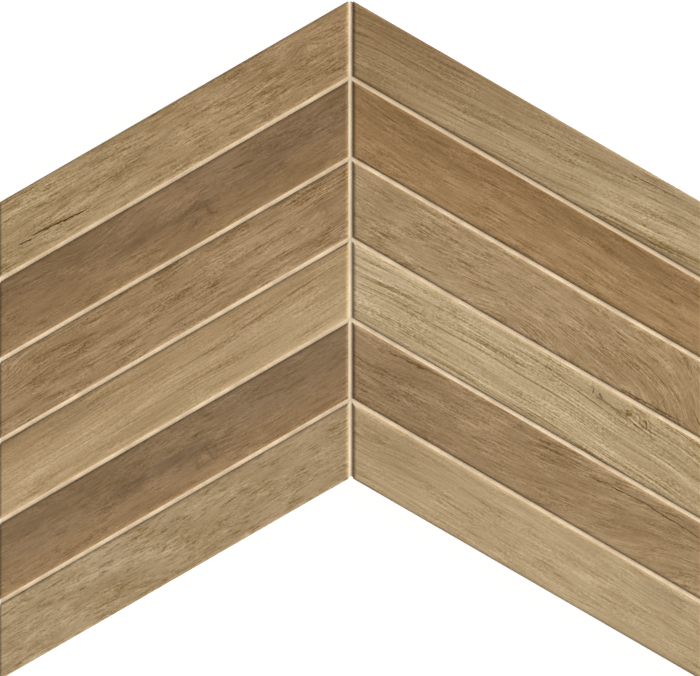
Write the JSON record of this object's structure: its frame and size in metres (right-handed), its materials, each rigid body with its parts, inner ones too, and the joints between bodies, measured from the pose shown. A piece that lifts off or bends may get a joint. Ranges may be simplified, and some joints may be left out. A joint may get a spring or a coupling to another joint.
{
  "type": "chevron wall tile",
  "caption": "V-shaped chevron wall tile sheet of sloped wood-look porcelain strips with cream filled joints, held by a fibre net on the back, for tiling a wall.",
  "frame": {"origin": "under the middle of the sheet's box, on the surface that the sheet lies on", "axes": "+Z out of the face, +Y towards the point of the V, +X to the right as seen from the face"},
  "size_m": [0.3026, 0.2924, 0.0095],
  "materials": {
    "olive_beige_print": "matt porcelain with a printed oak figure and fine grain relief",
    "taupe_print": "matt porcelain with a printed oak figure and fine grain relief",
    "mid_brown_print": "matt porcelain with a printed oak figure and fine grain relief",
    "pale_beige_print": "matt porcelain with a printed oak figure and fine grain relief",
    "warm_brown_print": "matt porcelain with a printed oak figure and fine grain relief",
    "cream_filler": "matt, finely sanded",
    "fibre_net": "open woven fibre net"
  },
  "bodies": {
    "root": {"strip_left_1": "olive_beige_print", "strip_left_2": "taupe_print", "strip_left_3": "mid_brown_print", "strip_left_4": "pale_beige_print", "strip_left_5": "taupe_print", "strip_left_6": "olive_beige_print", "strip_right_1": "olive_beige_print", "strip_right_2": "warm_brown_print", "strip_right_3": "mid_brown_print", "strip_right_4": "pale_beige_print", "strip_right_5": "taupe_print", "strip_right_6": "pale_beige_print", "joint_filler": "cream_filler", "backing_net_left": "fibre_net", "backing_net_right": "fibre_net"}
  },
  "joints": []
}
